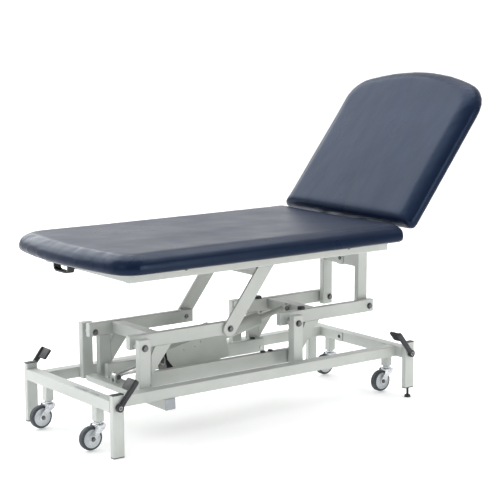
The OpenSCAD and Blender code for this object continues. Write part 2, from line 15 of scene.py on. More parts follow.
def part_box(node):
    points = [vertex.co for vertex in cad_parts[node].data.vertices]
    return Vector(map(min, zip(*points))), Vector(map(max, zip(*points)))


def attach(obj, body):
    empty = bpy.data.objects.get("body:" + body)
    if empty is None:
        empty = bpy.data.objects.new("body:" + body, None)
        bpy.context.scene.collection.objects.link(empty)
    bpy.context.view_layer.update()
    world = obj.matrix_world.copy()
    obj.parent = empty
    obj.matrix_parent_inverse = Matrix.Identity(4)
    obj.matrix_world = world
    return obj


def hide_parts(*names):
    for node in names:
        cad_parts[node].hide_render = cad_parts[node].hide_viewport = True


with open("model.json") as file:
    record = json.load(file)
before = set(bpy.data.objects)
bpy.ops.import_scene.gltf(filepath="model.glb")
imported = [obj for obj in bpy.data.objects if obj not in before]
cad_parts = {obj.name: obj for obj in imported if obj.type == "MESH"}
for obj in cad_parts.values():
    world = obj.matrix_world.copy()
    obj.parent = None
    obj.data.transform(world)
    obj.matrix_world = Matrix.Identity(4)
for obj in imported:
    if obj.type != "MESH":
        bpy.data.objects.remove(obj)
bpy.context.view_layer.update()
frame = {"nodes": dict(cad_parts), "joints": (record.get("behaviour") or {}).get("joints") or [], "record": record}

MM = 0.001
rail_lo, rail_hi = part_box("near_side_rail")
BASE_X = (rail_lo.x + rail_hi.x) / 2
JOINT = {j["name"]: j for j in frame["joints"]}


def mm(x, y, z):
    return Vector((BASE_X + x * MM, y * MM, z * MM))


def pivot(joint):
    """A joint's place, as millimetres from the middle of the base."""
    x, y, z = JOINT[joint]["pos_m"]
    return (x - BASE_X) / MM, y / MM, z / MM


# ---------------------------------------------------------------- materials

def nodes_of(material):
    tree = material.node_tree
    return tree, tree.nodes["Principled BSDF"]


def noise_node(tree, scale, detail=4.0, rough=0.55, stretch=(1, 1, 1)):
    coords = tree.nodes.new("ShaderNodeTexCoord")
    mapping = tree.nodes.new("ShaderNodeMapping")
    mapping.inputs["Scale"].default_value = stretch
    tree.links.new(coords.outputs["Object"], mapping.inputs["Vector"])
    tex = tree.nodes.new("ShaderNodeTexNoise")
    tex.inputs["Scale"].default_value = scale
    tex.inputs["Detail"].default_value = detail
    tex.inputs["Roughness"].default_value = rough
    tree.links.new(mapping.outputs["Vector"], tex.inputs["Vector"])
    return tex


def ramp(tree, source, low, high, start=0.35, end=0.65):
    node = tree.nodes.new("ShaderNodeValToRGB")
    node.color_ramp.elements[0].position = start
    node.color_ramp.elements[1].position = end
    node.color_ramp.elements[0].color = (*low, 1) if isinstance(low, tuple) else (low, low, low, 1)
    node.color_ramp.elements[1].color = (*high, 1) if isinstance(high, tuple) else (high, high, high, 1)
    tree.links.new(source, node.inputs["Fac"])
    return node


def bump_chain(tree, bsdf, layers):
    """layers: (height socket, strength, distance in metres), coarse first."""
    last = None
    for height, strength, distance in layers:
        bump = tree.nodes.new("ShaderNodeBump")
        bump.inputs["Strength"].default_value = strength
        bump.inputs["Distance"].default_value = distance
        tree.links.new(height, bump.inputs["Height"])
        if last:
            tree.links.new(last.outputs["Normal"], bump.inputs["Normal"])
        last = bump
    tree.links.new(last.outputs["Normal"], bsdf.inputs["Normal"])


def material(name, dark, light, tone_scale, rough, rough_scale, grain, metallic=0.0,
             coat=0.0):
    """dark, light: the two tones that a soft noise mixes; rough: lowest and highest
    roughness; grain: (scale, strength, distance) of the fine bump."""
    m = bpy.data.materials.new(name)
    m.use_nodes = True
    tree, bsdf = nodes_of(m)
    tone = noise_node(tree, tone_scale, 5.0, 0.6)
    tree.links.new(ramp(tree, tone.outputs["Fac"], dark, light).outputs["Color"],
                   bsdf.inputs["Base Color"])
    wear = noise_node(tree, rough_scale, 3.0, 0.5)
    tree.links.new(ramp(tree, wear.outputs["Fac"], rough[0], rough[1]).outputs["Color"],
                   bsdf.inputs["Roughness"])
    fine = noise_node(tree, grain[0], 2.0, 0.5)
    bump_chain(tree, bsdf, [(fine.outputs["Fac"], grain[1], grain[2])])
    bsdf.inputs["Metallic"].default_value = metallic
    bsdf.inputs["Coat Weight"].default_value = coat
    bsdf.inputs["Coat Roughness"].default_value = 0.25
    bsdf.inputs["Specular IOR Level"].default_value = 0.5
    return m


def vinyl_material():
    """Smooth PVC upholstery: a fine pebble grain, soft pull lines and a satin coat."""
    m = bpy.data.materials.new("navy_vinyl")
    m.use_nodes = True
    tree, bsdf = nodes_of(m)
    tone = noise_node(tree, 9.0, 5.0, 0.6)
    tree.links.new(ramp(tree, tone.outputs["Fac"], (0.0036, 0.0078, 0.0230), (0.0054, 0.0110, 0.0310),
                        0.3, 0.7).outputs["Color"], bsdf.inputs["Base Color"])
    wear = noise_node(tree, 5.0, 4.0, 0.55)
    tree.links.new(ramp(tree, wear.outputs["Fac"], 0.26, 0.36, 0.3, 0.7).outputs["Color"],
                   bsdf.inputs["Roughness"])
    coords = tree.nodes.new("ShaderNodeTexCoord")
    pebble = tree.nodes.new("ShaderNodeTexVoronoi")
    pebble.feature = "SMOOTH_F1"
    pebble.inputs["Scale"].default_value = 620.0
    tree.links.new(coords.outputs["Object"], pebble.inputs["Vector"])
    pull = noise_node(tree, 4.5, 3.0, 0.5, (1, 2.2, 1))
    fine = noise_node(tree, 900.0, 2.0, 0.5)
    bump_chain(tree, bsdf, [
        (pull.outputs["Fac"], 0.5, 0.004),
        (pebble.outputs["Distance"], 0.25, 0.0004),
        (fine.outputs["Fac"], 0.15, 0.0002),
    ])
    bsdf.inputs["Specular IOR Level"].default_value = 0.20
    bsdf.inputs["Specular Tint"].default_value = (0.52, 0.72, 1.0, 1)
    return m


def wood_material():
    """Very dark ply: stretched grain and a few darker streaks."""
    m = bpy.data.materials.new("very_dark_ply")
    m.use_nodes = True
    tree, bsdf = nodes_of(m)
    grain = noise_node(tree, 28.0, 6.0, 0.65, (0.12, 1.6, 1.6))
    tree.links.new(ramp(tree, grain.outputs["Fac"], (0.018, 0.014, 0.011), (0.060, 0.044, 0.030),
                        0.35, 0.7).outputs["Color"], bsdf.inputs["Base Color"])
    fine = noise_node(tree, 240.0, 3.0, 0.6, (0.1, 2.0, 2.0))
    tree.links.new(ramp(tree, fine.outputs["Fac"], 0.55, 0.78).outputs["Color"],
                   bsdf.inputs["Roughness"])
    bump_chain(tree, bsdf, [(grain.outputs["Fac"], 0.3, 0.0008),
                            (fine.outputs["Fac"], 0.4, 0.0003)])
    return m


MAT = {
    "frame_paint": material("frame_paint", (0.46, 0.48, 0.455), (0.51, 0.53, 0.505), 6.0,
                            (0.36, 0.46), 12.0, (520.0, 0.10, 0.0004), coat=0.12),
    "black_plastic": material("black_plastic", (0.010, 0.011, 0.014), (0.020, 0.021, 0.025), 20.0,
                              (0.38, 0.55), 30.0, (900.0, 0.30, 0.0003)),
    "zinc_steel": material("zinc_steel", (0.48, 0.49, 0.50), (0.66, 0.66, 0.65), 45.0,
                           (0.26, 0.42), 60.0, (700.0, 0.12, 0.0002), metallic=1.0),
    "dark_bolt": material("blackened_zinc", (0.10, 0.10, 0.105), (0.19, 0.19, 0.19), 60.0,
                          (0.32, 0.48), 60.0, (700.0, 0.12, 0.0002), metallic=0.85),
    "castor_zinc": material("castor_zinc", (0.46, 0.48, 0.51), (0.68, 0.69, 0.71), 55.0,
                            (0.18, 0.34), 70.0, (600.0, 0.10, 0.0002), metallic=1.0),
    "castor_wheel": material("castor_rubber", (0.030, 0.036, 0.046), (0.050, 0.058, 0.070), 60.0,
                             (0.50, 0.68), 50.0, (800.0, 0.35, 0.0003)),
    "wheel_hub": material("wheel_hub_plastic", (0.56, 0.59, 0.61), (0.66, 0.68, 0.70), 40.0,
                          (0.34, 0.48), 40.0, (700.0, 0.15, 0.0002)),
    "actuator_plastic": material("actuator_plastic", (0.012, 0.012, 0.014),
                                 (0.022, 0.022, 0.026), 25.0, (0.30, 0.42), 30.0,
                                 (650.0, 0.20, 0.0003)),
    "actuator_cover": material("actuator_cover_paint", (0.36, 0.38, 0.355), (0.42, 0.44, 0.41),
                               7.0, (0.42, 0.52), 14.0, (500.0, 0.10, 0.0004)),
    "plywood": wood_material(),
    "navy_vinyl": vinyl_material(),
    "black_enamel": material("black_enamel", (0.012, 0.012, 0.012), (0.020, 0.020, 0.021), 30.0,
                             (0.16, 0.28), 25.0, (420.0, 0.08, 0.0003), coat=0.3),
    "label": material("blank_label", (0.30, 0.32, 0.34), (0.36, 0.38, 0.40), 18.0,
                      (0.40, 0.55), 20.0, (300.0, 0.10, 0.0002)),
}

for entry in frame["record"]["subparts"]:
    mesh = frame["nodes"][entry["node"]].data
    mesh.materials.clear()
    mesh.materials.append(MAT[entry["material_slot"]])


# ---------------------------------------------------------------- mesh helpers

def finish_piece(name, bm, mat, body, angle=40.0, bevel=0.0):
    """Turns a bmesh into a piece that rides on a body; sharp edges stay sharp."""
    bmesh.ops.remove_doubles(bm, verts=bm.verts, dist=1e-6)
    bmesh.ops.recalc_face_normals(bm, faces=bm.faces)
    mesh = bpy.data.meshes.new(name)
    bm.to_mesh(mesh)
    bm.free()
    obj = bpy.data.objects.new(name, mesh)
    bpy.context.scene.collection.objects.link(obj)
    if bevel:
        mod = obj.modifiers.new("bevel", "BEVEL")
        mod.width = bevel * MM
        mod.segments = 3
        mod.limit_method = "ANGLE"
        mod.angle_limit = math.radians(35)
        apply_modifiers(obj)
    obj.data.materials.clear()
    obj.data.materials.append(MAT[mat])
    obj.data.shade_smooth()
    obj.data.set_sharp_from_angle(angle=math.radians(angle))
    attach(obj, body)
    return obj


def apply_modifiers(obj):
    bpy.context.view_layer.update()
    done = bpy.data.meshes.new_from_object(
        obj.evaluated_get(bpy.context.evaluated_depsgraph_get()))
    obj.modifiers.clear()
    old = obj.data
    obj.data = done
    bpy.data.meshes.remove(old)


def frame_along(axis, at):
    """Matrix whose local Z runs along axis from the point at."""
    axis = Vector(axis).normalized()
    return Matrix.Translation(at) @ axis.to_track_quat("Z", "Y").to_matrix().to_4x4()


def add_lathe(bm, profile, where, segments=40):
    """Revolves (radius, height) pairs in mm about local Z; the ends close on the axis."""
    rings = []
    for r, h in profile:
        if r < 1e-6:
            rings.append([bm.verts.new(where @ Vector((0, 0, h * MM)))])
            continue
        rings.append([bm.verts.new(where @ Vector((
            r * MM * math.cos(2 * math.pi * i / segments),
            r * MM * math.sin(2 * math.pi * i / segments), h * MM)))
            for i in range(segments)])
    for a, b in zip(rings, rings[1:]):
        for i in range(segments):
            k = (i + 1) % segments
            corners = [a[i % len(a)], a[k % len(a)], b[k % len(b)], b[i % len(b)]]
            unique = list(dict.fromkeys(corners))
            if len(unique) > 2:
                bm.faces.new(unique)


def add_prism(bm, outline, height, where, taper=1.0):
    """Extrudes a closed outline of (x, y) in mm along local Z."""
    low = [bm.verts.new(where @ Vector((x * MM, y * MM, 0))) for x, y in outline]
    high = [bm.verts.new(where @ Vector((x * MM * taper, y * MM * taper, height * MM)))
            for x, y in outline]
    bm.faces.new(low[::-1])
    bm.faces.new(high)
    for i in range(len(outline)):
        k = (i + 1) % len(outline)
        bm.faces.new([low[i], low[k], high[k], high[i]])


def round_rect(a, b, r, steps=5):
    """Points of a rectangle a by b with round corners."""
    points = []
    for cx, cy, start in ((1, 1, 0), (-1, 1, 90), (-1, -1, 180), (1, -1, 270)):
        for i in range(steps + 1):
            t = math.radians(start + 90 * i / steps)
            points.append((cx * (a / 2 - r) + r * math.cos(t), cy * (b / 2 - r) + r * math.sin(t)))
    return points


def add_hex_head(bm, size, where):
    """Washer and chamfered hexagon head; size is the bolt's diameter in mm."""
    washer = 1.15 * size
    add_lathe(bm, [(0, 0), (washer, 0), (washer, 0.10 * size), (washer - 0.4, 0.14 * size),
                   (0, 0.14 * size)], where)
    up = where @ Matrix.Translation((0, 0, 0.14 * size * MM))
    half = 0.92 * size
    hexagon = [(half * math.cos(math.radians(60 * i)), half * math.sin(math.radians(60 * i)))
               for i in range(6)]
    add_prism(bm, hexagon, 0.52 * size, up)
    top = up @ Matrix.Translation((0, 0, 0.52 * size * MM))
    add_prism(bm, hexagon, 0.10 * size, top, taper=0.86)


def add_dome_nut(bm, size, where):
    """Round-topped button head."""
    profile = [(0, 0), (size, 0), (size, 0.18 * size)]
    profile += [(size * math.cos(math.radians(a)), 0.18 * size + 0.5 * size * math.sin(math.radians(a)))
                for a in range(10, 90, 16)]
    profile += [(0, 0.68 * size)]
    add_lathe(bm, profile, where)


def add_plug(bm, a, b, where, thick=2.5):
    """Moulded end plug of a tube a by b, with a softened face."""
    add_prism(bm, round_rect(a, b, 3), thick * 0.6, where)
    add_prism(bm, round_rect(a, b, 3), thick * 0.4,
              where @ Matrix.Translation((0, 0, thick * 0.6 * MM)), taper=0.93)


def add_bead(bm, points, radius, ripple=0.22, pitch=4.0):
    """Weld bead along straight pieces of a path; its ripples follow the length."""
    path = [Vector(p) for p in points]
    rings = []
    travelled = 0.0
    for a, b in zip(path, path[1:]):
        length = (b - a).length
        steps = max(2, int(length / (pitch * MM * 0.5)))
        where = frame_along(b - a, a)
        for i in range(steps + 1):
            s = i / steps * length
            swell = 1 + ripple * math.sin(2 * math.pi * (travelled + s) / (pitch * MM))
            r = radius * MM * swell
            end = 0.35 if (i in (0, steps)) else 1.0
            rings.append([bm.verts.new(where @ Vector((
                r * end * math.cos(math.radians(45 * k)), r * end * math.sin(math.radians(45 * k)), s)))
                for k in range(8)])
        travelled += length
        for ring_a, ring_b in zip(rings[-steps - 1:], rings[-steps:]):
            for k in range(8):
                bm.faces.new([ring_a[k], ring_a[(k + 1) % 8], ring_b[(k + 1) % 8], ring_b[k]])
        bm.faces.new(rings[-steps - 1][::-1])
        bm.faces.new(rings[-1])


NEAR, FAR = -1, 1
SIDES = ((NEAR, "near"), (FAR, "far"))


# ---------------------------------------------------------------- cushions

PAD_W, PAD_T, CORNER_R = 690.0, 62.0, 24.0
SEAT_END, BACK_END = (1300.0, 90.0), (830.0, 120.0)      # radii of the arch and the shoulders
SQUARE_END_SHARE = 0.5     # the square end is rounded this much of the other edges' depth
BOARD_T, BOARD_INSET = 12.0, 34.0


def arc(cx, cy, r, a0, a1, steps):
    return [(cx + r * math.cos(math.radians(a0 + (a1 - a0) * i / steps)),
             cy + r * math.sin(math.radians(a0 + (a1 - a0) * i / steps)))
            for i in range(steps + 1)]


def pad_outline(length, end, inset):
    """Plan of a cushion: arched end at x = 0, nearly square end at x = length."""
    arch_r, shoulder_r = end
    sy = PAD_W / 2 - shoulder_r
    sx = arch_r - math.sqrt((arch_r - shoulder_r) ** 2 - sy ** 2)
    tilt = math.degrees(math.asin(sy / (arch_r - shoulder_r)))
    corner = max(CORNER_R - inset, 4.0)
    cx, cy = length - SQUARE_END_SHARE * inset - corner, PAD_W / 2 - inset - corner
    points = arc(arch_r, 0, arch_r - inset, 180 - tilt, 180 + tilt, 24)
    points += arc(sx, -sy, shoulder_r - inset, 180 + tilt, 270, 10)
    points += arc(cx, -cy, corner, 270, 360, 6)
    points += arc(cx, cy, corner, 0, 90, 6)
    points += arc(sx, sy, shoulder_r - inset, 90, 180 - tilt, 10)
    return points


def pad_rings(slim):
    """(inset, height) of the cushion's section from the board pocket, round the edge, to the
    top; slim is how much smaller than its final size the pad starts."""
    top = PAD_T - slim
    low_r, nose_in, nose_up = 18.0, 50.0, 34.0
    rings = [(BOARD_INSET, BOARD_T + 0.5), (BOARD_INSET, 0.6)]
    for a in range(0, 91, 15):
        t = math.radians(a)
        rings.append((slim + low_r * (1 - math.sin(t)), 0.6 + low_r * (1 - math.cos(t))))
    for a in range(0, 91, 10):
        t = math.radians(a)
        rings.append((slim + nose_in * (1 - math.cos(t)), top - nose_up * (1 - math.sin(t))))
    return rings


def pad_mesh(name, length, end, where, slim):
    bm = bmesh.new()
    rings = []
    for inset, height in pad_rings(slim):
        rings.append([bm.verts.new(where @ Vector((x * MM, y * MM, height * MM)))
                      for x, y in pad_outline(length, end, inset)])
    for a, b in zip(rings, rings[1:]):
        for i in range(len(a)):
            k = (i + 1) % len(a)
            bm.faces.new([a[i], a[k], b[k], b[i]])
    bm.faces.new(rings[0][::-1])
    bm.faces.new(rings[-1])
    bmesh.ops.remove_doubles(bm, verts=bm.verts, dist=1e-6)
    bmesh.ops.recalc_face_normals(bm, faces=bm.faces)
    mesh = bpy.data.meshes.new(name)
    bm.to_mesh(mesh)
    bm.free()
    obj = bpy.data.objects.new(name, mesh)
    bpy.context.scene.collection.objects.link(obj)
    return obj


def inflate(obj, up, base, cap):
    """Fills the pad by cloth pressure; the board side stays put, and no point moves more
    than cap mm."""
    remesh = obj.modifiers.new("remesh", "REMESH")
    remesh.mode = "VOXEL"
    remesh.voxel_size = 0.010
    apply_modifiers(obj)
    mesh = obj.data
    start = np.array([v.co for v in mesh.vertices])
    height = (start - np.array(base)) @ np.array(up)
    pins = obj.vertex_groups.new(name="pins")
    pins.add([int(i) for i in np.where(height < 0.016)[0]], 1.0, "REPLACE")
    cloth = obj.modifiers.new("cloth", "CLOTH")
    s = cloth.settings
    s.quality = 4
    s.mass = 0.4
    s.tension_stiffness = 18
    s.compression_stiffness = 18
    s.bending_stiffness = 25
    s.use_pressure = True
    s.uniform_pressure_force = 3
    s.vertex_group_mass = "pins"
    s.effector_weights.gravity = 0
    cloth.collision_settings.use_collision = False
    scene = bpy.context.scene
    for step in range(1, 13):
        scene.frame_set(step)
    shaped = obj.evaluated_get(bpy.context.evaluated_depsgraph_get()).data
    end = np.array([v.co for v in shaped.vertices])
    move = end - start
    far = np.linalg.norm(move, axis=1)
    soft_cap = cap * MM * np.tanh(far / (cap * MM)) / np.maximum(far, 1e-9)
    end = start + move * soft_cap[:, None]
    scene.frame_set(1)
    obj.modifiers.clear()
    obj.vertex_groups.clear()
    for v, co in zip(mesh.vertices, end):
        v.co = co
    mesh.update()


def pull_lines(obj, up, amount):
    """Shallow, long undulations where the cover is pulled over the foam."""
    for v in obj.data.vertices:
        facing = max(0.0, v.normal.dot(Vector(up)))
        p = v.co
        wave = noise.noise(Vector((p.x * 5.0, p.y * 9.0, p.z * 5.0)))
        wave += 0.5 * noise.noise(Vector((p.x * 13.0, p.y * 17.0, p.z * 13.0 + 4.0)))
        v.co = p + v.normal * (wave * amount * MM * facing)


def cushion(name, node, body, length, end, where, slim=2.0, cap=3.5):
    up = where.to_3x3() @ Vector((0, 0, 1))
    obj = pad_mesh(name, length, end, where, slim)
    inflate(obj, up, where.translation, cap)
    pull_lines(obj, up, 0.7)
    smooth = obj.modifiers.new("smooth", "SUBSURF")
    smooth.levels = 1
    smooth.render_levels = 1
    apply_modifiers(obj)
    obj.data.materials.append(MAT["navy_vinyl"])
    obj.data.shade_smooth()
    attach(obj, body)
    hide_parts(node)
    return obj


seat_lo, seat_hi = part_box("seat_cushion")
SEAT_L = (seat_hi.x - seat_lo.x) / MM
seat_where = Matrix.Translation((seat_lo.x, 0, seat_lo.z))
cushion("seat_pad", "seat_cushion", "top_frame", SEAT_L, SEAT_END, seat_where)

hinge_x, _, hinge_z = pivot("backrest_tilt")
BACK_ANGLE = 52.0
BACK_GAP, BACK_L, PAD_BACK = 36.0, 632.0, -10.0
on_back = Matrix.Translation(mm(hinge_x, 0, hinge_z)) @ Matrix.Rotation(
    math.radians(-BACK_ANGLE), 4, "Y")
back_where = on_back @ Matrix.Translation(
    ((BACK_GAP + BACK_L) * MM, 0, PAD_BACK * MM)) @ Matrix.Rotation(math.pi, 4, "Z")
cushion("back_pad", "back_cushion", "backrest", BACK_L, BACK_END, back_where)

# ---------------------------------------------------------------- fasteners

FOOT_X, _, PIVOT_Z = pivot("lift")
HEAD_X = pivot("head_crank_pivot")[0]
END_X, _, END_Z = pivot("top_frame_pivot")
HEAD_END_X = HEAD_X + END_X - FOOT_X
LINK_X, _, LINK_Z = pivot("near_link_pivot")
HEAD_LINK_X = HEAD_X + LINK_X - FOOT_X
POST_FACE = 185.0          # outer face of the pivot posts
LEG_FACE = 142.0           # outer face of the slanted legs
ARM_FACE = 132.0           # outer face of arms and levers
ARM_Y = 121.0              # middle of the arms and levers
LINK_Y = 93.0              # middle of the link bars
STRUT_Y = 95.0             # middle of the head struts
TOP_RAIL_Y = 244.0         # middle of the top rails


def heads(name, body, places, mat="dark_bolt"):
    """One piece of several bolt heads: (x, y, z, direction, size, kind)."""
    bm = bmesh.new()
    for x, y, z, axis, size, kind in places:
        where = frame_along(axis, mm(x, y, z))
        if kind == "hex":
            add_hex_head(bm, size, where)
        else:
            add_dome_nut(bm, size, where)
    return finish_piece(name, bm, mat, body, angle=30)


heads("pivot_post_bolt_heads", "base", [
    (x, s * y, PIVOT_Z, (0, s * d, 0), size, kind)
    for x in (FOOT_X, HEAD_X) for s, _ in SIDES
    for y, d, size, kind in ((POST_FACE, 1, 10, "hex"), (110, -1, 9, "hex"))])
heads("arm_end_bolt_heads", "top_frame", [
    (x, s * y, END_Z, (0, s * d, 0), size, "hex")
    for s, _ in SIDES
    for x, y, d, size in ((END_X, LEG_FACE, 1, 9.5), (END_X, 110, -1, 7),
                          (HEAD_END_X, ARM_FACE + 0.4, 1, 9.5), (HEAD_END_X, 84, -1, 9.5))])
for side, name in SIDES:
    heads(f"{name}_link_bolt_heads", "foot_crank", [
        (LINK_X, side * y, LINK_Z, (0, side * d, 0), 9, "hex") for y, d in ((ARM_FACE, 1),)])
    heads(f"{name}_head_link_bolt_heads", "head_crank", [
        (HEAD_LINK_X, side * ARM_FACE, LINK_Z, (0, side, 0), 9, "hex")])
heads("rod_pin_heads", "foot_crank", [
    (pivot("rod_pivot")[0], s * 15, pivot("rod_pivot")[2], (0, s, 0), 8, "dome")
    for s, _ in SIDES])
heads("housing_pin_heads", "head_crank", [
    (pivot("housing_pivot")[0], s * 15, pivot("housing_pivot")[2], (0, s, 0), 8, "dome")
    for s, _ in SIDES])
heads("hinge_bolt_heads", "top_frame", [
    (hinge_x, s * 190, hinge_z, (0, s, 0), 7.5, "hex") for s, _ in SIDES])
heads("gas_spring_pin_heads", "top_frame", [
    (pivot("gas_cylinder_pivot")[0], s * 12, pivot("gas_cylinder_pivot")[2], (0, s, 0), 6, "dome")
    for s, _ in SIDES])
heads("gas_rod_pin_heads", "gas_spring_rod", [
    (pivot("gas_rod_pivot")[0], s * 12, pivot("gas_rod_pivot")[2], (0, s, 0), 6, "dome")
    for s, _ in SIDES])


# ---------------------------------------------------------------- tube plugs and caps

def plugs(name, body, places, mat="frame_paint"):
    """One piece of several end plugs: (x, y, z, direction, a, b). On a level tube a is the
    width and b the height; on an upright tube a runs along the couch and b across it."""
    bm = bmesh.new()
    for x, y, z, axis, a, b in places:
        add_plug(bm, a, b, frame_along(axis, mm(x, y, z)))
    return finish_piece(name, bm, mat, body, angle=30)


def node_mm(node):
    """A node's box in millimetres from the middle of the base."""
    lo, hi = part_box(node)
    return (((lo.x - BASE_X) / MM, lo.y / MM, lo.z / MM),
            ((hi.x - BASE_X) / MM, hi.y / MM, hi.z / MM))


cross_lo, cross_hi = node_mm("lower_cross_member")
plugs("cross_member_plugs", "base", [
    ((cross_lo[0] + cross_hi[0]) / 2, s * cross_hi[1], (cross_lo[2] + cross_hi[2]) / 2,
     (0, s, 0), 38, 36) for s, _ in SIDES], "label")
top_lo, top_hi = node_mm("near_top_rail")
top_mid = (top_lo[2] + top_hi[2]) / 2
plugs("top_rail_plugs", "top_frame", [
    (x, s * TOP_RAIL_Y, top_mid, (d, 0, 0), 22, 35)
    for s, _ in SIDES for x, d in ((top_lo[0], -1), (top_hi[0], 1))])
arm_lo, arm_hi = node_mm("foot_arm_near")
arm_mid = (arm_lo[2] + arm_hi[2]) / 2
plugs("foot_arm_plugs", "foot_crank", [
    (x, s * ARM_Y, arm_mid, (d, 0, 0), 22, 44)
    for s, _ in SIDES for x, d in ((arm_lo[0], -1), (arm_hi[0], 1))])
head_arm_lo, head_arm_hi = node_mm("head_arm_near")
plugs("head_arm_plugs", "head_crank", [
    (x, s * ARM_Y, arm_mid, (d, 0, 0), 22, 44)
    for s, _ in SIDES for x, d in ((head_arm_lo[0], -1), (head_arm_hi[0], 1))])
for body, lever_x in (("foot_crank", FOOT_X + 36), ("head_crank", HEAD_X + 36)):
    plugs(f"{body}_lever_plugs", body, [
        (lever_x, s * ARM_Y, 150, (0, 0, -1), 44, 22) for s, _ in SIDES])
link_lo, link_hi = node_mm("near_link_bar")
for side, name in SIDES:
    plugs(f"{name}_link_plugs", f"{name}_link", [
        (x, side * LINK_Y, (link_lo[2] + link_hi[2]) / 2, (d, 0, 0), 22, 48)
        for x, d in ((link_lo[0], -1), (link_hi[0], 1))])
strut_lo, strut_hi = node_mm("head_struts")
plugs("strut_plugs", "top_frame", [
    ((strut_lo[0] + strut_hi[0]) / 2, s * STRUT_Y, z, (0, 0, d), 42, 22)
    for s, _ in SIDES for z, d in ((strut_lo[2], -1), (strut_hi[2], 1))])


# ---------------------------------------------------------------- small details

def round_buttons(name, body, places, mat="black_plastic"):
    """Low round plugs or buffers: (x, y, z, direction, radius, height)."""
    bm = bmesh.new()
    for x, y, z, axis, r, h in places:
        add_lathe(bm, [(0, 0), (r, 0), (r, h * 0.6), (r * 0.9, h * 0.88), (r * 0.7, h), (0, h)],
                  frame_along(axis, mm(x, y, z)))
    return finish_piece(name, bm, mat, body, angle=35)


round_buttons("arm_buffers", "head_crank", [(234, s * ARM_Y, 333, (0, 0, 1), 13, 10)
                                            for s, _ in SIDES])
round_buttons("link_buffers", "near_link", [(x, -LINK_Y, 198, (0, 0, 1), 9, 6) for x in (91, 123)])
round_buttons("far_link_buffer", "far_link", [(188, LINK_Y, 198, (0, 0, 1), 9, 6)])
round_buttons("rail_screw_caps", "top_frame", [(x, s * 255, 552, (0, s, 0), 6, 3.5)
                                               for x in (-330, 330) for s, _ in SIDES])


def thin_plate(name, body, x, y, z, axis, a, b, thick, mat):
    """Flat plate with rounded corners and softened edges, its face along axis."""
    bm = bmesh.new()
    add_prism(bm, round_rect(a, b, 3), thick, frame_along(axis, mm(x, y, z)))
    return finish_piece(name, bm, mat, body, angle=30, bevel=0.5)


for index, (y, length) in enumerate(((-72, 74), (-150, 48))):
    thin_plate(f"blank_label_{index + 1}", "base", -603, y, 176, (0, 0, 1), 14, length, 0.4,
               "label")
thin_plate("end_rail_pad_plate", "base", 575, 77, 158, (-1, 0, 0), 32, 36, 3, "frame_paint")
heads("end_rail_pad_screw", "base", [(572, 77, 158, (-1, 0, 0), 6, "dome")], "black_plastic")
thin_plate("strut_tube_plate", "top_frame", 510, 0, 465, (-1, 0, 0), 34, 44, 3, "frame_paint")
heads("strut_tube_screw", "top_frame", [(507, 0, 465, (-1, 0, 0), 6, "hex")])


# ---------------------------------------------------------------- weld beads

def beads(name, body, paths, radius=2.0):
    bm = bmesh.new()
    for path in paths:
        add_bead(bm, [mm(*p) for p in path], radius)
    return finish_piece(name, bm, "frame_paint", body, angle=180)


RAIL_TOP, RAIL_LOW = 176.0, 140.0
beads("base_welds", "base", [
    path
    for s, _ in SIDES for e in (-1, 1)
    for path in (
        # side rail to end rail, above and below
        [(e * 575, s * 187, RAIL_TOP), (e * 575, s * 223, RAIL_TOP)],
        [(e * 575, s * 187, RAIL_LOW), (e * 575, s * 223, RAIL_LOW)],
        # end rail to corner post
        [(e * 578, s * 256, RAIL_TOP), (e * 612, s * 256, RAIL_TOP)],
        [(e * 578, s * 256, RAIL_LOW), (e * 612, s * 256, RAIL_LOW)],
        # castor socket to end rail
        [(e * 595 - 14, s * 155 - 12, RAIL_LOW), (e * 595 - 14, s * 155 + 12, RAIL_LOW)],
        [(e * 595 + 14, s * 155 - 12, RAIL_LOW), (e * 595 + 14, s * 155 + 12, RAIL_LOW)],
    )] + [
    # pivot post to side rail
    [(x - 18, s * 185, RAIL_TOP), (x + 18, s * 185, RAIL_TOP)]
    for s, _ in SIDES for x in (FOOT_X, HEAD_X)] + [
    # lower cross member under the side rails
    [(x, s * 188, RAIL_LOW), (x, s * 222, RAIL_LOW)]
    for s, _ in SIDES for x in (cross_lo[0], cross_hi[0])], radius=1.7)

for body, px, cross_x in (("foot_crank", FOOT_X, FOOT_X + 85), ("head_crank", HEAD_X, HEAD_X + 118)):
    beads(f"{body}_welds", body, [
        path for s, _ in SIDES for path in (
            [(px + 15, s * 132, 289), (px + 57, s * 132, 289)],
            [(px + 75, s * 132, 289), (px + 131, s * 132, 289)],
            [(px + 58, s * 132, 197), (px + 58, s * 132, 260)],
            [(cross_x - 17, s * 110, 330), (cross_x + 17, s * 110, 330)],
            [(cross_x - 17, s * 110, 292), (cross_x + 17, s * 110, 292)],
        )], radius=1.6)
beads("top_frame_welds", "top_frame", [
    path for s, _ in SIDES for path in (
        [(32, s * 233, 527), (68, s * 233, 527)],
        [(33, s * 134, 527), (67, s * 134, 527)],
        [(487, s * 233, 562), (500, s * 233, 562)],
        [(502, s * 86, 528), (502, s * 86, 554)],
        [(511, s * 84, 485), (531, s * 84, 485)],
        [(511, s * 84, 445), (531, s * 84, 445)],
    )], radius=1.6)


# ---------------------------------------------------------------- castors

WHEEL_R = 37.5
TRAIL = pivot("foot_near_castor_swivel")[0] - pivot("foot_near_wheel_spin")[0]


def groove_ring(bm, where, r, half, depth, segments):
    """Ring of shallow round pockets that lighten a hub's face."""
    for i in range(segments):
        a = 2 * math.pi * i / segments
        at = where @ Matrix.Translation((r * MM * math.cos(a), r * MM * math.sin(a), 0))
        add_lathe(bm, [(0, -depth), (half * 0.72, -depth), (half, 0.6), (half + 1.0, 0.6),
                       (half + 1.0, -0.2), (half + 1.2, -depth - 1), (0, -depth - 1)], at, 20)


